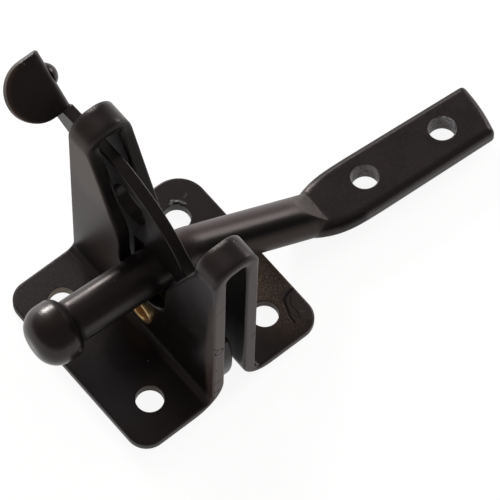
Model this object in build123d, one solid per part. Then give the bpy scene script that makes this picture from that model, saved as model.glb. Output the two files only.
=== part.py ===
from build123d import *
import math
import os

# Sizes in millimetres. The origin is the centre of the four fixing holes on the plate's back.

# body
plate_x = 60.0
plate_y = 57.6
plate_t = 3.0
plate_corner_r = 5.8
far_corner_r = 8.3
fixing_spacing_x = 38.2
fixing_spacing_y = 36.0
fixing_hole_d = 7.5
hat_width = 14.0
hat_height = 72.0
wall_t = 3.8
cap_t = 3.5
hat_flat = 3.0
far_horn_drop = 2.0
far_horn_flat = 1.2
hat_inner_r = 2.0
foot_inside_r = 2.5
foot_underside_r = 9.5
edge_r = 0.7

# notch for the strike bar, cut through both walls
notch_r = 9.0
notch_centre_z = 28.0
notch_straight_z = 36.0
notch_knee_y = 20.8
notch_knee_drop = 6.5
notch_throat_r = 14.0
notch_knee_r = 3.5

# pivot pin
pivot_y = 0.6
pivot_z = 11.2
pin_d = 8.0
pin_bore_d = 6.4
pin_flange_d = 9.4
pin_flange_t = 0.9
pin_clearance = 0.05
pin_rim = 0.4

# lever
lever_t = 3.4
eye_r = 7.6
pocket_r = 22.3
leg_inner_y = 9.5
pocket_corner_r = 5.0
tail_r = 26.7
tail_angle = 157.0
tail_tip_r = 1.5
tail_heel_r = 3.0
tail_heel_flat = 3.9
tail_floor = 0.5
padlock_hole_d = 12.8
padlock_hole_y = 11.2
padlock_hole_z = 46.3
lever_edge_r = 0.5

# corners of the lever's outline as (y, z), with the radii that round them
hook_nose = (-12.5, 37.6)
hook_nose_r = 1.5
hook_lip_r = 1.2
hook_back = (-2.9, 51.9)
hook_back_r = 40.0
hook_top = (16.0, 58.8)
hook_top_r = 24.0
arm_top = (37.6, 57.2)
arm_under_tab = (39.6, 54.7)
arm_end_top = (51.2, 63.4)
arm_end = (51.2, 55.3)
arm_end_r = 4.0
arm_bottom = (38.0, 50.4)
arm_root = (25.0, 43.5)
leg_shoulder = (17.5, 31.0)
leg_back = (15.0, 20.0)
leg_heel = (13.0, 12.0)
leg_foot = (6.5, 5.0)

# thumb tab, folded from the lever's arm
fold_y = 38.85
fold_z = 57.35
fold_angle = 38.0
tab_t = 2.6
tab_start = -1.6
tab_r = 8.45
tab_straight = 3.95
tab_bend_r = 2.4
tab_edge_r = 0.7

# rivet under the thumb tab
rivet_y = 47.7
rivet_z = 58.7
rivet_shank_d = 4.0
rivet_head_r = 3.6
rivet_head_h = 2.3

# strike bar, as it lies in the notch
bar_d = 12.0
bar_y = 1.2
bar_z = 26.35
bar_yaw = -4.3
bar_roll = -5.2
bar_tilt = 2.0
knob_d = 16.6
knob_length = 11.7
knob_edge_r = 6.2
knob_back_r = 3.2
knob_end_x = -39.3
bend_start_x = 6.0
bend_end_x = 47.6
bar_drop = 22.35
bend_r = 12.0
flat_end_x = 101.05
flat_width = 17.8
flat_shift = -0.3
flat_t = 6.0
flat_side_r = 2.2
flat_corner_r = 1.2
flat_end_bulge = 0.7
flat_end_skew = 2.1
flat_end_taper = 0.4
flat_root_x = 4.0
flat_root_inset = 1.2
flat_throat = 13.9
flat_flare_x = 16.0
flat_face_x = 48.4
flat_face_slope = 47.0
bar_hole_d = 7.5
bar_hole_x = (63.9, 89.1)


def corner(face, y, z):
    """The corner of a flat profile nearest to a point."""
    return face.vertices().sort_by_distance((y, z, 0))[0]


def hat_profile(height, flat):
    """Cross-section of the body: two flanges and a hollow hat, open at the back, with a flat on top."""
    corner_r = (hat_width - flat) / 2
    outer = Pos(0, plate_t / 2) * Rectangle(plate_x, plate_t)
    outer += Pos(0, height / 2) * Rectangle(hat_width, height)
    for side in (-1, 1):
        outer = fillet(corner(outer, side * hat_width / 2, height), corner_r)
        outer = fillet(corner(outer, side * hat_width / 2, plate_t), foot_inside_r)
    inner_width = hat_width - 2 * wall_t
    inner_height = height - cap_t
    inner = Pos(0, inner_height / 2) * Rectangle(inner_width, inner_height)
    for side in (-1, 1):
        inner = fillet(corner(inner, side * inner_width / 2, inner_height), hat_inner_r)
    profile = outer - inner
    for side in (-1, 1):
        profile = fillet(corner(profile, side * inner_width / 2, 0), foot_underside_r)
    return profile


def notch_profile():
    """The V with a round bottom, seen along the strike bar."""
    top = hat_height + notch_r
    knee_z = hat_height - notch_knee_drop
    outline = Polyline(
        (notch_r, notch_centre_z),
        (notch_r, notch_straight_z),
        (notch_knee_y, knee_z),
        (notch_knee_y, top),
        (-notch_knee_y, top),
        (-notch_knee_y, knee_z),
        (-notch_r, notch_straight_z),
        (-notch_r, notch_centre_z),
        close=True,
    )
    face = make_face(outline)
    for side in (-1, 1):
        face = fillet(corner(face, side * notch_r, notch_straight_z), notch_throat_r)
        face = fillet(corner(face, side * notch_knee_y, knee_z), notch_knee_r)
    return face + Pos(0, notch_centre_z) * Circle(notch_r)


def round_notch_rim(body):
    """Rounds the edges that the notch left, apart from its smooth joins."""
    rim = []
    for edge in body.edges():
        middle = edge.center()
        along = edge % 0.5
        if middle.Z < notch_centre_z - notch_r - 0.1 or abs(middle.Y) > notch_knee_y + 1:
            continue
        across_wall = abs(along.X) > 0.999 and abs(middle.X) > hat_width / 2 - wall_t
        if abs(along.Y) < 0.999 and not across_wall:
            rim.append(edge)
    return fillet(rim, edge_r)


def round_outer_rim(body):
    """Rounds the plate's upper outline and both ends of the hat, inside and out."""
    rim = []
    for edge in body.edges():
        middle = edge.center()
        on_end = all(abs(abs(v.Y) - plate_y / 2) < 0.02 for v in edge.vertices())
        of_hat = on_end and abs(middle.X) < plate_x / 4 and middle.Z > 0.2
        at_side = abs(middle.X) > plate_x / 2 - far_corner_r / 2 or abs(middle.Y) > plate_y / 2 - far_corner_r / 2
        if of_hat or (at_side and abs(middle.Z - plate_t) < 0.01):
            rim.append(edge)
    return fillet(rim, edge_r)


def latch_body():
    """Plate and horns in one piece, with the notch, the fixing holes and the pin holes."""
    body = extrude(Plane.XZ * hat_profile(hat_height, hat_flat), plate_y / 2)
    body += extrude(Plane.XZ * hat_profile(hat_height - far_horn_drop, far_horn_flat), -plate_y / 2)
    upright = body.edges().filter_by(Axis.Z).filter_by(lambda e: abs(e.center().X) > plate_x / 2 - 1)
    far_corner = upright.sort_by(lambda e: e.center().X + e.center().Y)[-1]
    others = [e for e in upright if abs(e.center().Y) > plate_y / 2 - 1 and e != far_corner]
    body = fillet(others, plate_corner_r)
    far_corner = body.edges().filter_by(Axis.Z).sort_by(lambda e: e.center().X + e.center().Y)[-1]
    body = fillet(far_corner, far_corner_r)
    body -= extrude(Plane.YZ * notch_profile(), hat_width, both=True)
    body = round_outer_rim(round_notch_rim(body))
    for hole in GridLocations(fixing_spacing_x, fixing_spacing_y, 2, 2):
        body -= hole * Cylinder(fixing_hole_d / 2, 4 * plate_t)
    body -= Pos(0, pivot_y, pivot_z) * Rot(0, 90, 0) * Cylinder(pin_d / 2, 2 * hat_width)
    return body


def pivot_pin():
    """Tubular pin with a rolled flange at each end."""
    length = hat_width + 2 * pin_flange_t
    pin = Cylinder(pin_d / 2, length)
    for side in (-1, 1):
        pin += Pos(0, 0, side * (hat_width + pin_flange_t) / 2) * Cylinder(pin_flange_d / 2, pin_flange_t)
    pin -= Cylinder(pin_bore_d / 2, length)
    ends = pin.edges().filter_by(GeomType.CIRCLE).filter_by(lambda e: abs(abs(e.center().Z) - length / 2) < 0.01)
    ends = ends.sort_by(SortBy.RADIUS)
    pin = chamfer(ends[:2], pin_rim)
    outer = pin.edges().filter_by(GeomType.CIRCLE).filter_by(lambda e: abs(e.radius - pin_flange_d / 2) < 0.01)
    outer = outer.filter_by(lambda e: abs(abs(e.center().Z) - length / 2) < 0.01)
    pin = fillet(outer, pin_rim)
    return Pos(0, pivot_y, pivot_z) * Rot(0, 90, 0) * pin


def lever_profile():
    """Hook, arm, leg, eye and tail of the lever, seen along the pivot."""
    pivot = (pivot_y, pivot_z)
    eye_top = pivot_z + eye_r / 2
    eye_foot = pivot_z - eye_r / 2
    hook = Polygon(
        hook_nose,
        hook_back,
        hook_top,
        arm_top,
        arm_under_tab,
        arm_end_top,
        arm_end,
        arm_bottom,
        arm_root,
        leg_shoulder,
        pivot,
        align=None,
    )
    leg = Polygon(
        (leg_inner_y, pivot_z + pocket_r),
        (leg_inner_y, pivot_z + eye_r),
        (pivot_y, eye_top),
        (pivot_y, eye_foot),
        leg_foot,
        leg_heel,
        leg_back,
        leg_shoulder,
        arm_root,
        align=None,
    )
    rise = math.radians(tail_angle)
    tail_tip = (pivot_y + tail_r * math.cos(rise), pivot_z + tail_r * math.sin(rise))
    tail_heel = (pivot_y - math.sqrt(tail_r**2 - (pivot_z - tail_floor) ** 2), tail_floor)
    wedge = Polygon(
        pivot,
        (pivot_y + 2 * tail_r * math.cos(rise), pivot_z + 2 * tail_r * math.sin(rise)),
        (pivot_y - 2 * tail_r, tail_floor),
        (tail_heel[0] + tail_heel_flat, tail_floor),
        (pivot_y, pivot_z - eye_r + tail_floor),
        align=None,
    )
    around_pivot = Pos(*pivot)
    tail = wedge & (around_pivot * Circle(tail_r))
    lip = math.hypot(hook_nose[0] - pivot_y, hook_nose[1] - pivot_z) / pocket_r
    hook_lip = (pivot_y + (hook_nose[0] - pivot_y) / lip, pivot_z + (hook_nose[1] - pivot_z) / lip)

    profile = hook - around_pivot * Circle(pocket_r)
    profile += leg + tail + around_pivot * Circle(eye_r)
    for place, radius in (
        (hook_nose, hook_nose_r),
        (hook_lip, hook_lip_r),
        (hook_back, hook_back_r),
        (hook_top, hook_top_r),
        (arm_end, arm_end_r),
        ((leg_inner_y, pivot_z + eye_r), pocket_corner_r),
        ((leg_inner_y, pivot_z + pocket_r), pocket_corner_r),
        (tail_tip, tail_tip_r),
        (tail_heel, tail_heel_r),
    ):
        profile = fillet(corner(profile, *place), radius)
    profile -= around_pivot * Circle(pin_d / 2 + pin_clearance)
    profile -= Pos(padlock_hole_y, padlock_hole_z) * Circle(padlock_hole_d / 2)
    return profile


def thumb_tab():
    """Half-round tab folded over along the sloping top of the arm."""
    slope = math.radians(fold_angle)
    plane = Plane(
        origin=(0, fold_y, fold_z),
        x_dir=(0, math.cos(slope), math.sin(slope)),
        z_dir=(0, -math.sin(slope), math.cos(slope)),
    )
    inner = -lever_t / 2
    middle = tab_start + tab_r
    face = Pos(middle, (inner + tab_straight) / 2) * Rectangle(2 * tab_r, tab_straight - inner)
    half_round = Pos(middle, tab_straight) * Circle(tab_r)
    face += half_round & (Pos(middle, tab_straight + tab_r) * Rectangle(4 * tab_r, 2 * tab_r))
    tab = extrude(face, -tab_t)
    bend = tab.edges().filter_by(Axis.X).sort_by(Axis.Y)[:2].sort_by(Axis.Z)[-1]
    tab = fillet(bend, tab_bend_r)
    rim = tab.edges().filter_by(lambda e: e.center().Z > -0.01 and e.center().Y > tab_straight)
    tab = fillet(rim, tab_edge_r)
    return plane * tab


def round_lever_rim(plate):
    """Rounds both faces along the hook's back and along the tail's end."""
    rim = []
    for edge in plate.edges():
        middle = edge.center()
        if abs(abs(middle.X) - lever_t / 2) > 0.01:
            continue
        reach = math.hypot(middle.Y - pivot_y, middle.Z - pivot_z)
        from_hole = math.hypot(middle.Y - padlock_hole_y, middle.Z - padlock_hole_z)
        past_nose = middle.Z > hook_nose[1] - hook_nose_r and middle.Y < arm_top[0] - hook_nose_r
        of_hook = past_nose and reach > pocket_r + lever_t and from_hole > padlock_hole_d / 2 + lever_edge_r
        of_tail = middle.Y < pivot_y - eye_r - lever_t and middle.Z < pivot_z + tail_r / 2
        if of_hook or of_tail:
            rim.append(edge)
    return fillet(rim, lever_edge_r)


def lever():
    """Lever with its thumb tab, and the hole for the rivet."""
    plate = round_lever_rim(extrude(Plane.YZ * lever_profile(), lever_t / 2, both=True))
    plate += thumb_tab()
    plate -= Pos(0, rivet_y, rivet_z) * Rot(0, 90, 0) * Cylinder(rivet_shank_d / 2, 3 * lever_t)
    return plate


def thumb_rivet():
    """Rivet with a low round head on the far side of the arm."""
    shank = Pos(0, 0, 0) * Cylinder(rivet_shank_d / 2, lever_t)
    ball_z = lever_t / 2 + rivet_head_h - rivet_head_r
    ball = Pos(0, 0, ball_z) * Sphere(rivet_head_r)
    keep = Pos(0, 0, lever_t / 2 + rivet_head_h / 2) * Box(4 * rivet_head_r, 4 * rivet_head_r, rivet_head_h)
    return Pos(0, rivet_y, rivet_z) * Rot(0, 90, 0) * (shank + (ball & keep))


def flat_outline():
    """Plan of the flattened end: it widens from the round bar, and its curved end is a little skewed."""
    half = flat_width / 2
    root = (bend_end_x - flat_root_x, bar_d / 2 - flat_root_inset)
    throat = (bend_end_x, flat_throat / 2)
    wide = (bend_end_x + flat_flare_x, half)
    ends = []
    sides = []
    for side in (-1, 1):
        flare = [(x, side * y) for x, y in (root, throat, wide)]
        ends.append((flat_end_x + side * flat_end_skew / 2, side * (half - flat_end_taper)))
        sides.append(Spline(*flare, tangents=((1, side * 0.7), (1, 0))))
        sides.append(Line(flare[-1], ends[-1]))
    end = ThreePointArc(ends[0], (flat_end_x + flat_end_bulge, 0), ends[1])
    close = Line((root[0], -root[1]), root)
    face = make_face([*sides, end, close])
    for place in ends:
        face = fillet(corner(face, *place), flat_corner_r)
    return Pos(0, flat_shift) * face


def strike_bar():
    """Cranked round bar with a knob at one end and a flattened, drilled end."""
    rise = math.tan(math.radians(bar_tilt))
    overlap = bar_d / 6
    root_x = knob_end_x + knob_length - overlap
    root_z = (root_x - bend_start_x) * rise
    path = FilletPolyline(
        (root_x, 0, root_z),
        (bend_start_x, 0, 0),
        (bend_end_x, 0, -bar_drop),
        (bend_end_x + bar_d / 2, 0, -bar_drop),
        radius=bend_r,
    )
    start = Plane(origin=(root_x, 0, root_z), z_dir=(1, 0, rise))
    bar = sweep(start * Circle(bar_d / 2), path)

    knob = Cylinder(knob_d / 2, knob_length)
    rings = knob.edges().filter_by(GeomType.CIRCLE).sort_by(Axis.Z)
    knob = fillet(rings[0], knob_edge_r)
    back = knob.edges().filter_by(GeomType.CIRCLE).sort_by(Axis.Z)[-1]
    knob = fillet(back, knob_back_r)
    knob = start * Pos(0, 0, overlap - knob_length / 2) * knob

    floor = -bar_drop - flat_t / 2
    top = -bar_drop + flat_t / 2
    flat = extrude(flat_outline(), flat_t)
    long_edges = flat.edges().filter_by(lambda e: e.center().X > bend_end_x - flat_root_x + 0.1)
    long_edges = long_edges.filter_by(lambda e: abs(e.center().Z - round(e.center().Z / flat_t) * flat_t) < 0.01)
    flat = fillet(long_edges, flat_side_r)
    flat = Pos(0, 0, floor) * flat

    bar += knob
    bar += flat
    bar -= Pos(0, 0, floor - bar_drop) * Box(4 * flat_end_x, 4 * flat_width, 2 * bar_drop)
    run = bar_d / math.tan(math.radians(flat_face_slope))
    wedge = Polygon(
        (flat_face_x, top),
        (flat_face_x - run, top + bar_d),
        (flat_end_x, top + bar_d),
        (flat_end_x, top),
        align=None,
    )
    bar -= extrude(Plane.XZ * wedge, flat_width, both=True)
    for x in bar_hole_x:
        bar -= Pos(x, 0, -bar_drop) * Cylinder(bar_hole_d / 2, 3 * flat_t)
    return Pos(0, bar_y, bar_z) * Rot(0, 0, bar_yaw) * Rot(bar_roll, 0, 0) * bar


parts = {
    "latch_body": latch_body(),
    "pivot_pin": pivot_pin(),
    "lever": lever(),
    "thumb_rivet": thumb_rivet(),
    "strike_bar": strike_bar(),
}

os.makedirs("parts", exist_ok=True)
for name, part in parts.items():
    export_step(part, f"parts/{name}.step")
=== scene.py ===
import math
from collections import namedtuple

import bpy
from mathutils import Matrix, Vector

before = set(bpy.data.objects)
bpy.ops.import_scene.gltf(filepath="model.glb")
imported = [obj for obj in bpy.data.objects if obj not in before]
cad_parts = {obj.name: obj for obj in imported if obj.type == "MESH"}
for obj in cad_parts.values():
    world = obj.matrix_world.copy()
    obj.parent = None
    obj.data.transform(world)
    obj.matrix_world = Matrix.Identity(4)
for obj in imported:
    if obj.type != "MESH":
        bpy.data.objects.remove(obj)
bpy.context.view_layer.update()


# Nodes


def feed(tree, item, socket):
    """Links an output to a socket, or sets the socket to a plain value."""
    if isinstance(item, bpy.types.NodeSocket):
        tree.links.new(item, socket)
    else:
        socket.default_value = item


def maths(tree, operation, a, b=0.0, clamp=False):
    """The result of a maths node."""
    node = tree.nodes.new("ShaderNodeMath")
    node.operation = operation
    node.use_clamp = clamp
    feed(tree, a, node.inputs[0])
    feed(tree, b, node.inputs[1])
    return node.outputs[0]


def times(tree, a, b):
    """One number, or mask, times another."""
    return maths(tree, "MULTIPLY", a, b)


def vector_maths(tree, operation, a, b=None):
    """The result of a vector maths node: a number for a length or a dot product, or else a vector."""
    node = tree.nodes.new("ShaderNodeVectorMath")
    node.operation = operation
    feed(tree, a, node.inputs[0])
    if b is not None:
        feed(tree, b, node.inputs["Scale" if operation == "SCALE" else 1])
    is_number = operation in ("LENGTH", "DOT_PRODUCT")
    return node.outputs["Value" if is_number else "Vector"]


def along(tree, vector, axis):
    """A vector's part along X, Y or Z."""
    node = tree.nodes.new("ShaderNodeSeparateXYZ")
    feed(tree, vector, node.inputs[0])
    return node.outputs[axis]


def mix(tree, kind, factor, a, b):
    """a where factor is 0 and b where it is 1, for RGBA colours or FLOAT numbers."""
    node = tree.nodes.new("ShaderNodeMix")
    node.data_type = kind
    feed(tree, factor, node.inputs["Factor"])
    feed(tree, a, node.inputs["A"])
    feed(tree, b, node.inputs["B"])
    return node.outputs["Result"]


def remap(tree, value, low, high, to_low=0.0, to_high=1.0):
    """A smooth step from to_low, where value is low, to to_high, where it is high."""
    node = tree.nodes.new("ShaderNodeMapRange")
    node.interpolation_type = "SMOOTHSTEP"
    feed(tree, value, node.inputs["Value"])
    node.inputs["From Min"].default_value = low
    node.inputs["From Max"].default_value = high
    node.inputs["To Min"].default_value = to_low
    node.inputs["To Max"].default_value = to_high
    return node.outputs["Result"]


def fade(tree, value, start, soft):
    """1 up to start, falling to 0 over soft."""
    return remap(tree, value, start, start + soft, 1.0, 0.0)


def noise(tree, where, scale, detail=3.0, roughness=0.55):
    """Noise from 0 to 1."""
    node = tree.nodes.new("ShaderNodeTexNoise")
    node.inputs["Scale"].default_value = scale
    node.inputs["Detail"].default_value = detail
    node.inputs["Roughness"].default_value = roughness
    feed(tree, where, node.inputs["Vector"])
    return node.outputs["Fac"]


def millimetres(tree):
    """The part's own coordinates in millimetres."""
    source = tree.nodes.new("ShaderNodeTexCoord")
    return vector_maths(tree, "SCALE", source.outputs["Object"], 1000.0)


def own_normal(tree):
    """The direction that the surface faces, in the part's own axes."""
    return tree.nodes.new("ShaderNodeTexCoord").outputs["Normal"]


def bump(tree, height, strength=1.0, under=None):
    """The normal of a surface with this height in millimetres, over the normal under it."""
    node = tree.nodes.new("ShaderNodeBump")
    node.inputs["Distance"].default_value = 0.001
    node.inputs["Strength"].default_value = strength
    feed(tree, height, node.inputs["Height"])
    if under is not None:
        feed(tree, under, node.inputs["Normal"])
    return node.outputs["Normal"]


# Masks: a mask makes a number from 0 to 1 out of a place in the part's millimetres


def distance_to(tree, where, centre, stretch=(1, 1, 1)):
    """Distance to a centre, with each axis stretched."""
    offset = vector_maths(tree, "SUBTRACT", where, centre)
    return vector_maths(tree, "LENGTH", vector_maths(tree, "MULTIPLY", offset, stretch))


def distance_to_line(tree, where, start, end):
    """Distance to the line from start to end."""
    start = Vector(start)
    line = Vector(end) - start
    offset = vector_maths(tree, "SUBTRACT", where, start)
    share = vector_maths(tree, "DOT_PRODUCT", offset, line / line.length_squared)
    share = maths(tree, "ADD", share, 0.0, clamp=True)
    foot = vector_maths(tree, "SCALE", line, share)
    return vector_maths(tree, "LENGTH", vector_maths(tree, "SUBTRACT", offset, foot))


def any_of(tree, masks):
    """The strongest of several masks."""
    total = masks[0]
    for mask in masks[1:]:
        total = maths(tree, "MAXIMUM", total, mask)
    return total


def stroke(points, radius, soft):
    """Mask of a line through points."""
    def mask(tree, where):
        gaps = [distance_to_line(tree, where, a, b) for a, b in zip(points, points[1:])]
        return any_of(tree, [fade(tree, gap, radius, soft) for gap in gaps])
    return mask


def dots(points, radius, soft):
    """Mask of round spots."""
    def mask(tree, where):
        gaps = [distance_to(tree, where, point) for point in points]
        return any_of(tree, [fade(tree, gap, radius, soft) for gap in gaps])
    return mask


def ring(centre, radius, half_width, soft):
    """Mask of a thin ball shell: a circle where it meets a flat face."""
    def mask(tree, where):
        gap = maths(tree, "SUBTRACT", distance_to(tree, where, centre), radius)
        return fade(tree, maths(tree, "ABSOLUTE", gap), half_width, soft)
    return mask


def patch(centre, stretch, radius, soft, grain=0.0, scale=1.0, strength=1.0):
    """Mask of a soft oval. Noise of this scale moves its edge by up to half of grain."""
    def mask(tree, where):
        reach = distance_to(tree, where, centre, stretch)
        if grain:
            wobble = maths(tree, "SUBTRACT", noise(tree, where, scale, 4.0), 0.5)
            reach = maths(tree, "ADD", reach, times(tree, wobble, grain))
        return times(tree, fade(tree, reach, radius, soft), strength)
    return mask


def mottled(mask_of, scale, low, high):
    """A mask broken into grains, which are where the noise is above low."""
    def mask(tree, where):
        grains = remap(tree, noise(tree, where, scale, 3.0, 0.65), low, high)
        return times(tree, mask_of(tree, where), grains)
    return mask


def facing(axis, none, full, start, end):
    """Mask of faces by their normal on an axis, from none to full, between two places on X."""
    rising, falling = 4.0, 2.0

    def mask(tree, where):
        across = along(tree, where, "X")
        after_start = remap(tree, across, start, start + rising)
        before_end = fade(tree, across, end - falling, falling)
        turned = remap(tree, along(tree, own_normal(tree), axis), none, full)
        return times(tree, turned, times(tree, after_start, before_end))
    return mask


def within(mask_of, other):
    """Mask where both masks are."""
    def mask(tree, where):
        return times(tree, mask_of(tree, where), other(tree, where))
    return mask


# Materials


def new_material(name):
    """A material with one Principled shader."""
    material = bpy.data.materials.new(name)
    material.use_nodes = True
    tree = material.node_tree
    tree.nodes.clear()
    output = tree.nodes.new("ShaderNodeOutputMaterial")
    shader = tree.nodes.new("ShaderNodeBsdfPrincipled")
    tree.links.new(shader.outputs["BSDF"], output.inputs["Surface"])
    return material, tree, shader


# A mark in the coating: its mask, colour, roughness and height in millimetres
Mark = namedtuple("Mark", "mask colour roughness height", defaults=(0.0,))

# The paint's colours and shine, and how far in metres its edges are softened
paint_dark = (0.0150, 0.0128, 0.0125, 1)
paint_pale = (0.0200, 0.0170, 0.0160, 1)
paint_tint = (1.0, 0.9, 0.87, 1)
flat_shine = 0.5
dull_shine = 0.12
gloss_roughness = 0.3
smooth_reach = 0.0028
least_reach = 0.0005


def upright(tree):
    """1 where the surface stands upright, 0 where it lies flat."""
    slope = maths(tree, "ABSOLUTE", along(tree, own_normal(tree), "Z"))
    return remap(tree, slope, 0.15, 0.6, 1.0, 0.0)


def rounded_normal(tree, strength):
    """The normal with its edges softened, most where strength is 1."""
    node = tree.nodes.new("ShaderNodeBevel")
    node.samples = 8
    reach = maths(tree, "MAXIMUM", times(tree, strength, smooth_reach), least_reach)
    feed(tree, reach, node.inputs["Radius"])
    return node.outputs["Normal"]


def black_coating(name, marks=(), upright_shine=None, rounding=None, gloss=None, dull=None):
    """Satin black paint with a fine grain and marks. Upright faces can shine less than flat ones.
    Rounding is a mask of softened edges, gloss one of thicker paint and dull one of duller faces."""
    material, tree, shader = new_material(name)
    where = millimetres(tree)
    cloudy = noise(tree, where, 0.12, 4.0)
    grain = noise(tree, where, 2.6, 3.0)
    fine_grain = noise(tree, where, 9.0, 2.0)
    colour = mix(tree, "RGBA", remap(tree, cloudy, 0.35, 0.7), paint_dark, paint_pale)
    rough = remap(tree, cloudy, 0.3, 0.75, 0.28, 0.36)
    height = maths(tree, "ADD", times(tree, grain, 0.012), times(tree, fine_grain, 0.003))
    for mark in marks:
        mask = mark.mask(tree, where)
        colour = mix(tree, "RGBA", mask, colour, (*mark.colour, 1))
        rough = mix(tree, "FLOAT", mask, rough, mark.roughness)
        if mark.height:
            height = maths(tree, "ADD", height, times(tree, mask, mark.height))
    under = rounded_normal(tree, rounding(tree, where)) if rounding else None
    feed(tree, bump(tree, height, under=under), shader.inputs["Normal"])
    feed(tree, colour, shader.inputs["Base Color"])
    feed(tree, rough, shader.inputs["Roughness"])
    if gloss:
        feed(tree, gloss(tree, where), shader.inputs["Coat Weight"])
        shader.inputs["Coat Roughness"].default_value = gloss_roughness
    if upright_shine:
        shine = mix(tree, "FLOAT", upright(tree), flat_shine, upright_shine)
        if dull:
            shine = mix(tree, "FLOAT", dull(tree, where), shine, dull_shine)
        feed(tree, shine, shader.inputs["Specular IOR Level"])
    shader.inputs["IOR"].default_value = 1.45
    shader.inputs["Specular Tint"].default_value = paint_tint
    return material


def brass(name):
    """Brass with brown stains and a fine grain."""
    material, tree, shader = new_material(name)
    clean = (0.95, 0.70, 0.36, 1)
    stained = (0.85, 0.56, 0.26, 1)
    where = millimetres(tree)
    stain = noise(tree, where, 0.9, 4.0)
    grain = noise(tree, where, 6.0)
    colour = mix(tree, "RGBA", remap(tree, stain, 0.4, 0.65), clean, stained)
    feed(tree, colour, shader.inputs["Base Color"])
    feed(tree, remap(tree, stain, 0.35, 0.7, 0.3, 0.42), shader.inputs["Roughness"])
    feed(tree, bump(tree, times(tree, grain, 0.01), strength=0.6), shader.inputs["Normal"])
    shader.inputs["Metallic"].default_value = 0.8
    return material


# Places on the part in its millimetres, and colours that marks share

plate_top = 3.0
end_y = -28.8
fixing_x = 19.1
fixing_y = 18.0
hat_inner_wall = 3.2
knob_centre = (-35, 3.6, 25.6)
knob_edge_x = -28.4
flat_root = (48.5, -4.5, 8)
flat_middle = (75, -3, 6.5)
flat_holes = [Vector((63.568, -5.611, 4.092)), Vector((88.697, -7.501, 4.092))]
flat_upward = Vector((0.0068, 0.0904, 0.9959))
tab_centre = (-3.95, 44.2, 61.5)

# Black of the lifted paint's dark rim and of the drip's painted shadow
rim_and_shadow_black = (0.006, 0.005, 0.005)
pit_black = (0.012, 0.010, 0.010)
wall_and_end_brown = (0.050, 0.037, 0.033)
bare_steel = (0.30, 0.285, 0.27)
old_paint = (0.13, 0.115, 0.11)
hole_brown = (0.13, 0.11, 0.095)


def on_plate(*places):
    """Points on top of the plate from X and Y."""
    return [(x, y, plate_top) for x, y in places]


def on_end(*places):
    """Points on the near end of the hat from X and Z."""
    return [(x, end_y, z) for x, z in places]


def hole_wall(foot, rise):
    """Mask of a drilled hole's wall, from a point on its axis and a step along it."""
    return stroke([foot - rise, foot + rise], radius=3.8, soft=0.06)


# The body


def end_faces(tree, where):
    """1 on the near ends of the plate and the hat."""
    return fade(tree, along(tree, where, "Y"), end_y + 0.1, 0.2)


def inside_hat(tree, where):
    """1 below the caps on the hat's inner faces and on the tall horn's edge at the notch."""
    across = maths(tree, "ABSOLUTE", along(tree, where, "X"))
    inner = fade(tree, across, hat_inner_wall + 0.2, 0.4)
    notch_edge = facing("Y", -0.25, -0.5, start=-14.0, end=12.0)(tree, where)
    notch_edge = times(tree, notch_edge, remap(tree, along(tree, where, "Y"), -12.0, -6.0))
    below_caps = fade(tree, along(tree, where, "Z"), 62.0, 5.0)
    return times(tree, maths(tree, "MAXIMUM", inner, notch_edge), below_caps)


def cap_edges(tree, where):
    """Softer edges on the caps of the two horns than lower down."""
    return remap(tree, along(tree, where, "Z"), 56.0, 68.0, 0.2, 0.95)


def horn_brown_and_highlights():
    """Brown on the outer wall and the end faces, and painted highlights on the wall's top, one end face and
    the caps' roundings.
    """
    outer_wall = facing("X", -0.5, -0.8, start=-14.0, end=0.0)
    wall_brown_area = patch((-8, 17, 42), (1, 0.7, 0.32), radius=8, soft=5)
    # Painted highlights near the top of the outer wall and on the near end face
    painted_wall_highlight = patch((-9, 22, 58), (1, 0.7, 0.5), radius=5, soft=5)
    painted_end_highlight = patch((-5.4, end_y, 25), (1, 1, 0.1), radius=2.8, soft=1.5)
    # Painted sheen on the roundings of the two caps
    caps = dots([(-4.2, -24.8, 71.0), (-4.0, 24.5, 69.0)], radius=2.0, soft=4.0)
    return [
        # Plain brown on the outer wall and on the near end faces
        Mark(within(wall_brown_area, outer_wall), wall_and_end_brown, 0.42),
        Mark(end_faces, wall_and_end_brown, 0.42),
        # Painted highlights on the near end face and on the outer wall's top
        Mark(painted_end_highlight, (0.105, 0.080, 0.071), 0.42),
        Mark(within(painted_wall_highlight, outer_wall), (0.115, 0.088, 0.078), 0.42),
        # Painted sheen on the caps' roundings
        Mark(caps, (0.042, 0.035, 0.033), 0.4),
    ]


def plate_wear_and_painted_light():
    """Grey wear on the left flange, a painted bluish reflection and painted shade beside the bar, and rusty
    wear on the right one.
    """
    grey_area = patch((-22, 21, plate_top), (1, 0.8, 1), radius=7, soft=16,
                      grain=6, scale=0.3, strength=0.9)
    grey_core = patch((-22, 20, plate_top), (1, 0.9, 1), radius=9, soft=7, grain=4, scale=0.3)
    # Painted bluish reflection on the lower part of the left flange
    painted_blue_reflection = patch((-25, -10, plate_top), (1.4, 0.7, 1), radius=4, soft=7,
                      grain=4, scale=0.2, strength=0.6)
    # Painted shade on the plate beside the bar
    painted_shade_by_bar = patch((-14, -4, plate_top), (1, 1, 1), radius=6, soft=1.5,
                        grain=3, scale=0.3, strength=0.45)
    rust_area = patch((24, -14, plate_top), (1, 0.75, 1), radius=5, soft=9,
                      grain=5, scale=0.4, strength=0.85)
    rust_core = patch((24, -13.5, plate_top), (1.3, 0.7, 1), radius=5, soft=7, grain=4, scale=0.5)
    return [
        Mark(grey_area, (0.048, 0.043, 0.044), 0.5),
        Mark(mottled(grey_core, 2.6, 0.45, 0.8), (0.085, 0.079, 0.081), 0.6, height=0.035),
        Mark(painted_blue_reflection, (0.030, 0.030, 0.038), 0.42),
        Mark(painted_shade_by_bar, (0.010, 0.010, 0.014), 0.3),
        Mark(rust_area, (0.070, 0.049, 0.037), 0.5),
        Mark(mottled(rust_core, 2.0, 0.45, 0.72), (0.25, 0.18, 0.13), 0.6),
    ]


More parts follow.
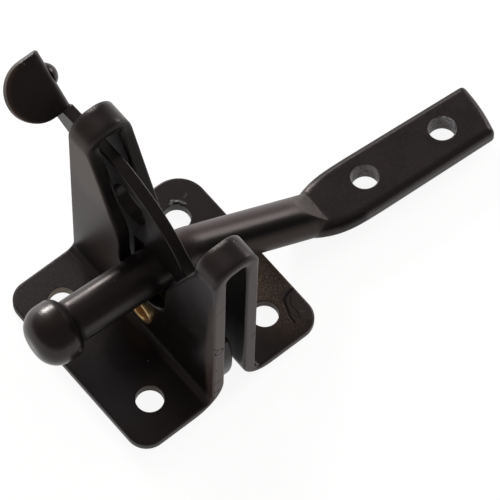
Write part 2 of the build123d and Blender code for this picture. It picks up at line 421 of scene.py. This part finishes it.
def lifted_paint():
    """The lifted patch of paint at the right flange's corner, with its dark rim, painted shade along a
    fold, a painted highlight on its crest and painted glints.
    """
    lift = patch((27.6, -21.2, plate_top), (1.45, 0.8, 1), radius=4.3, soft=0.3,
                 grain=1.6, scale=0.5, strength=0.9)
    rim = on_plate((29.6, -16.9), (27.3, -17.2), (25.5, -18.0), (24.7, -20.0), (23.8, -22.3), (23.4, -24.7))
    fold_shade_line = on_plate((27.6, -18.2), (26.0, -20.0), (26.1, -22.3), (25.6, -24.6))
    crest_highlight = on_plate((28.6, -19.4), (27.2, -20.8), (27.9, -22.4))
    glint = on_plate((26.6, -23.2), (27.8, -24.0))
    return [
        Mark(lift, (0.066, 0.058, 0.056), 0.38, height=0.08),
        Mark(stroke(rim, radius=0.2, soft=0.35), rim_and_shadow_black, 0.5, height=-0.08),
        # Painted shade along the fold, and painted highlights on its crest and glints
        Mark(stroke(fold_shade_line, radius=0.05, soft=0.3), (0.016, 0.013, 0.013), 0.5, height=-0.02),
        Mark(stroke(crest_highlight, radius=0.03, soft=0.3), (0.075, 0.064, 0.064), 0.5, height=0.02),
        Mark(stroke(glint, radius=0.05, soft=0.2), (0.13, 0.115, 0.115), 0.5, height=0.02),
    ]


def paint_drip():
    """The paint drip at the far right fixing hole, painted pale as its highlight, with its painted shadow
    and glint, and a painted highlight along where the hat leaves the plate.
    """
    grey_area = patch((21, 20, plate_top), (1, 1, 1), radius=7, soft=9, grain=5, scale=0.3, strength=0.45)
    drip = on_plate((20.3, 21.9), (21.2, 22.4), (22.6, 21.2), (23.2, 19.9))
    shadow = on_plate((21.0, 21.6), (22.0, 21.0))
    glint = on_plate((21.9, 21.9), (22.3, 21.6))
    hat_foot_highlight = on_plate((-9.0, 28.4), (-7.9, 8), (-7.8, -8), (-8.4, -28.4))
    trail = on_plate((24.4, 21.4), (25.5, 21.8))
    return [
        Mark(grey_area, (0.040, 0.036, 0.037), 0.45),
        # The drip's raised bead is painted pale as its highlight, then come its painted shadow and glint
        Mark(stroke(drip, radius=0.15, soft=0.5), (0.17, 0.17, 0.18), 0.22, height=0.22),
        Mark(stroke(shadow, radius=0.2, soft=0.25), rim_and_shadow_black, 0.5, height=-0.1),
        Mark(stroke(glint, radius=0.1, soft=0.15), (0.5, 0.5, 0.52), 0.4, height=0.1),
        # Painted highlight along the hat's foot
        Mark(stroke(hat_foot_highlight, radius=0.04, soft=0.2), (0.08, 0.071, 0.068), 0.4, height=0.02),
        Mark(stroke(trail, radius=0.05, soft=0.5), (0.065, 0.062, 0.063), 0.5, height=0.01),
    ]


def end_scratches():
    """The small ring, scratches and pits on the hat's near end, and two white specks."""
    circle = ring((-5.3, end_y, 30.6), radius=1.25, half_width=0.12, soft=0.2)
    tick = stroke(on_end((-6.9, 34.0), (-5.9, 32.4)), radius=0.08, soft=0.2)
    upper_cut = stroke(on_end((-6.7, 12.9), (-4.6, 13.0)), radius=0.1, soft=0.25)
    lower_cut = stroke(on_end((-6.7, 7.8), (-5.0, 7.6)), radius=0.1, soft=0.25)
    high_scratch = stroke(on_end((-6.3, 52.7), (-3.4, 54.7)), radius=0.06, soft=0.2)
    pits = dots(on_end((6.3, 25.9), (5.5, 25.6), (-6.1, 20.4)), radius=0.25, soft=0.2)
    specks = dots([(-12.7, -9.4, plate_top), (3.8, -22.7, 71.5)], radius=0.07, soft=0.12)
    return [
        Mark(circle, pit_black, 0.6, height=-0.05),
        Mark(tick, (0.015, 0.012, 0.012), 0.6, height=-0.04),
        Mark(upper_cut, pit_black, 0.6, height=-0.05),
        Mark(lower_cut, pit_black, 0.6, height=-0.05),
        Mark(high_scratch, (0.02, 0.017, 0.016), 0.6, height=-0.04),
        Mark(pits, pit_black, 0.6, height=-0.05),
        Mark(specks, (0.35, 0.33, 0.32), 0.6, height=0.02),
    ]


def fixing_hole_walls():
    """The walls of the four fixing holes, each as bare as in the photograph."""
    looks = [
        (-1, 1, (0.55, 0.50, 0.43), 0.55),
        (-1, -1, hole_brown, 0.5),
        (1, 1, (0.24, 0.23, 0.23), 0.45),
        (1, -1, hole_brown, 0.5),
    ]
    rise = Vector((0, 0, 3.5))
    marks = []
    for side, end, colour, roughness in looks:
        middle = Vector((side * fixing_x, end * fixing_y, plate_top / 2))
        marks.append(Mark(hole_wall(middle, rise), colour, roughness))
    return marks


def body_coating():
    """The body's paint. The inside of its hat shines least."""
    marks = [*horn_brown_and_highlights(), *plate_wear_and_painted_light(), *lifted_paint(), *paint_drip()]
    marks += [*end_scratches(), *fixing_hole_walls()]
    return black_coating("body_coating", marks, upright_shine=0.17, rounding=cap_edges, dull=inside_hat)


# The strike bar


def knob_edge(tree, where):
    """1 on the knob's edge behind its ball, which is painted dark as shade."""
    gap = maths(tree, "SUBTRACT", along(tree, where, "X"), knob_edge_x)
    return fade(tree, maths(tree, "ABSOLUTE", gap), 0.9, 0.9)


def bar_edges(tree, where):
    """Softened edges where the flat end leaves the round bar, and behind the knob."""
    root = patch(flat_root, (1, 1, 1), radius=7, soft=3)
    neck = patch((-27.6, 3.2, 25.5), (1, 1, 1), radius=8.5, soft=2.5, strength=0.6)
    return any_of(tree, [root(tree, where), neck(tree, where)])


def bar_grain_and_painted_light():
    """The knob's tone, painted shade on the knob's back edge and the rod's middle, painted light on the
    bent rod's sides and on the facet at the flat's root, and the grains on the flat end.
    """
    knob = patch(knob_centre, (1, 1, 1), radius=9, soft=3.5)
    # Painted shade on the middle of the bent rod
    painted_rod_shade = patch((26, 0, 18), (0.42, 1, 1), radius=11, soft=3)
    flat_area = patch(flat_middle, (0.4, 1, 1), radius=12, soft=4)
    return [
        Mark(knob, (0.023, 0.0175, 0.016), 0.28),
        # Painted shade on the knob's back edge
        Mark(knob_edge, (0.008, 0.007, 0.007), 0.65),
        Mark(painted_rod_shade, (0.005, 0.004, 0.004), 0.31),
        # Painted brownish light on the bent rod's upper, far side
        Mark(facing("Y", -0.35, 0.1, start=4.0, end=46.0), (0.062, 0.043, 0.045), 0.38),
        # Painted brownish reflection of the floor on the bent rod's near side
        Mark(facing("Y", -0.72, -0.92, start=4.0, end=50.0), (0.080, 0.062, 0.056), 0.40),
        # Painted sheen on the facet where the flat end leaves the round bar
        Mark(facing("X", 0.3, 0.6, start=38.0, end=51.0), (0.110, 0.097, 0.092), 0.5),
        Mark(mottled(flat_area, 1.2, 0.45, 0.7), (0.027, 0.023, 0.0225), 0.34),
        Mark(mottled(flat_area, 5.0, 0.60, 0.78), (0.070, 0.062, 0.060), 0.5, height=0.01),
    ]


def flat_hole_walls():
    """Bare steel in the flat end's two holes, with rests of old paint and pale chips."""
    rise = 6 * flat_upward
    near_hole, far_hole = [hole_wall(foot, rise) for foot in flat_holes]
    near_chip = dots([(67.0, -4.4, 6.0)], radius=1.2, soft=1.4)
    far_chip = mottled(dots([(92.2, -6.4, 6.0)], radius=1.9, soft=0.8), 1.6, 0.42, 0.5)
    return [
        Mark(near_hole, bare_steel, 0.42),
        Mark(far_hole, bare_steel, 0.42),
        Mark(mottled(near_hole, 1.2, 0.42, 0.6), old_paint, 0.45),
        Mark(mottled(far_hole, 1.2, 0.42, 0.6), old_paint, 0.45),
        Mark(within(near_hole, near_chip), (0.55, 0.53, 0.53), 0.45),
        Mark(within(far_hole, far_chip), (0.85, 0.87, 0.92), 0.5, height=0.03),
    ]


def flat_edge_and_specks():
    """The flat end's dull back edge, and pale specks on the bar."""
    specks = dots([(-13.3, 2.8, 31.6), (75.2, -4.0, 7.3), (-21, -3.4, 29.6)], radius=0.08, soft=0.12)
    return [
        Mark(facing("Y", 0.2, 0.5, start=50.0, end=110.0), (0.010, 0.009, 0.009), 0.62),
        Mark(specks, (0.25, 0.23, 0.22), 0.6, height=0.02),
    ]


def bar_coating():
    """The strike bar's paint, with a bright spot on its knob."""
    marks = [*bar_grain_and_painted_light(), *flat_hole_walls(), *flat_edge_and_specks()]
    near_side = facing("Y", -0.35, -0.7, start=6.0, end=58.0)
    knob_spot = patch((-33.3, 6.9, 32.6), (1, 1, 1), radius=1.0, soft=3.2)
    return black_coating("bar_coating", marks, upright_shine=0.32, rounding=bar_edges,
                         gloss=knob_spot, dull=near_side)


# The lever


def lever_coating():
    """The lever's paint, with a worn rim and chips on its thumb tab, and a painted highlight on one edge.
    """
    rim = within(ring(tab_centre, radius=8.2, half_width=0.35, soft=0.5),
                 patch((-11, 46, 63.5), (1, 1, 1), radius=5, soft=5))
    tab_chips = dots([(-3.9, 50.9, 66.5), (-3.6, 50.3, 66.1)], radius=0.12, soft=0.14)
    # Painted highlight on the lever's edge at the tall horn's notch
    painted_edge_highlight = stroke([(-1.8, 12.5, 44.2), (-1.2, 13.6, 43.4)], radius=0.6, soft=1.4)
    marks = [
        Mark(rim, (0.055, 0.034, 0.022), 0.45),
        Mark(tab_chips, (0.5, 0.48, 0.46), 0.6, height=0.03),
        Mark(painted_edge_highlight, (0.085, 0.075, 0.07), 0.5),
    ]
    return black_coating("lever_coating", marks, upright_shine=0.16)


materials = {
    "latch_body": body_coating(),
    "lever": lever_coating(),
    "thumb_rivet": black_coating("rivet_coating"),
    "strike_bar": bar_coating(),
    "pivot_pin": brass("brass"),
}
for node, material in materials.items():
    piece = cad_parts[node]
    piece.data.materials.clear()
    piece.data.materials.append(material)


# Floor, light and camera, in metres


def seen_by_eye(tree):
    """1 for rays from the camera and from shiny surfaces, 0 for soft light."""
    path = tree.nodes.new("ShaderNodeLightPath")
    shiny = maths(tree, "MAXIMUM", path.outputs["Is Glossy Ray"], path.outputs["Is Transmission Ray"])
    return maths(tree, "MAXIMUM", path.outputs["Is Camera Ray"], shiny)


def floor_sheet():
    """A large square just below the part."""
    half, level = 8.0, -0.0001
    corners = [(-half, -half, level), (half, -half, level), (half, half, level), (-half, half, level)]
    mesh = bpy.data.meshes.new("floor")
    mesh.from_pydata(corners, [], [(0, 1, 2, 3)])
    plane = bpy.data.objects.new("floor", mesh)
    bpy.context.scene.collection.objects.link(plane)
    return plane


def matt(tree, grey):
    """A matt surface of one grey."""
    node = tree.nodes.new("ShaderNodeBsdfDiffuse")
    node.inputs["Color"].default_value = (grey, grey, grey, 1)
    return node.outputs["BSDF"]


def floor():
    """Pale floor: white to the camera and in reflections, with the shadow kept."""
    plane = floor_sheet()
    material = bpy.data.materials.new("white_floor")
    material.use_nodes = True
    tree = material.node_tree
    tree.nodes.clear()
    output = tree.nodes.new("ShaderNodeOutputMaterial")
    glow = tree.nodes.new("ShaderNodeEmission")
    glow.inputs["Color"].default_value = (0.9, 0.9, 0.9, 1)
    white = tree.nodes.new("ShaderNodeAddShader")
    feed(tree, matt(tree, 0.3), white.inputs[0])
    feed(tree, glow.outputs["Emission"], white.inputs[1])
    surface = tree.nodes.new("ShaderNodeMixShader")
    feed(tree, seen_by_eye(tree), surface.inputs["Fac"])
    feed(tree, matt(tree, 0.88), surface.inputs[1])
    feed(tree, white.outputs["Shader"], surface.inputs[2])
    feed(tree, surface.outputs["Shader"], output.inputs["Surface"])
    plane.data.materials.append(material)


def area_light(name, azimuth, elevation, width, height, radiance):
    """A soft box seen from the object at these angles in degrees, facing it."""
    target = Vector((0.01, 0.0, 0.03))
    distance = 1.1
    light = bpy.data.lights.new(name, "AREA")
    light.shape = "RECTANGLE"
    light.size = width
    light.size_y = height
    light.energy = radiance * math.pi * width * height
    light.color = (1, 0.97, 0.96)
    lamp = bpy.data.objects.new(name, light)
    bpy.context.scene.collection.objects.link(lamp)
    around = math.radians(azimuth)
    above = math.radians(elevation)
    level = math.cos(above)
    direction = Vector((math.cos(around) * level, math.sin(around) * level, math.sin(above)))
    lamp.location = target + direction * distance
    lamp.rotation_euler = direction.to_track_quat("Z", "Y").to_euler()


def lighting():
    """A dim room that is lighter behind the object, and two low soft boxes there."""
    back_wall = Vector((0.2, 0.93, 0.3)).normalized()
    world = bpy.data.worlds.new("studio")
    bpy.context.scene.world = world
    world.use_nodes = True
    tree = world.node_tree
    tree.nodes.clear()
    output = tree.nodes.new("ShaderNodeOutputWorld")
    room = tree.nodes.new("ShaderNodeBackground")
    room.inputs["Color"].default_value = (1, 0.92, 0.9, 1)
    way = tree.nodes.new("ShaderNodeTexCoord").outputs["Generated"]
    toward_back = vector_maths(tree, "DOT_PRODUCT", way, back_wall)
    feed(tree, remap(tree, toward_back, -0.1, 0.8, 0.19, 0.27), room.inputs["Strength"])
    feed(tree, room.outputs["Background"], output.inputs["Surface"])
    area_light("left_box", azimuth=73, elevation=18, width=0.36, height=0.27, radiance=20.0)
    area_light("right_box", azimuth=4, elevation=20, width=0.44, height=0.3, radiance=7.0)


def camera():
    """The camera that the photograph's edges and holes give."""
    sensor, photo_width, focal_pixels = 36.0, 500.0, 4044.35
    elevation, azimuth, roll = (math.radians(angle) for angle in (63.497, -41.411, 2.046))
    target = Vector((0.028903, -0.000268, 0))
    distance = 1.05749
    data = bpy.data.cameras.new("camera")
    data.sensor_width = sensor
    data.lens = sensor * focal_pixels / photo_width
    data.clip_start = 0.05
    data.clip_end = 20.0
    level = math.cos(elevation)
    back = Vector((math.sin(azimuth) * level, -math.cos(azimuth) * level, math.sin(elevation)))
    side = Vector((math.cos(azimuth), math.sin(azimuth), 0))
    up = back.cross(side)
    right = math.cos(roll) * side + math.sin(roll) * up
    top = -math.sin(roll) * side + math.cos(roll) * up
    lens = bpy.data.objects.new("camera", data)
    bpy.context.scene.collection.objects.link(lens)
    turn = Matrix((right, top, back)).transposed().to_4x4()
    lens.matrix_world = Matrix.Translation(target + back * distance) @ turn
    bpy.context.scene.camera = lens


floor()
lighting()
camera()
bpy.context.scene.view_settings.view_transform = "Standard"
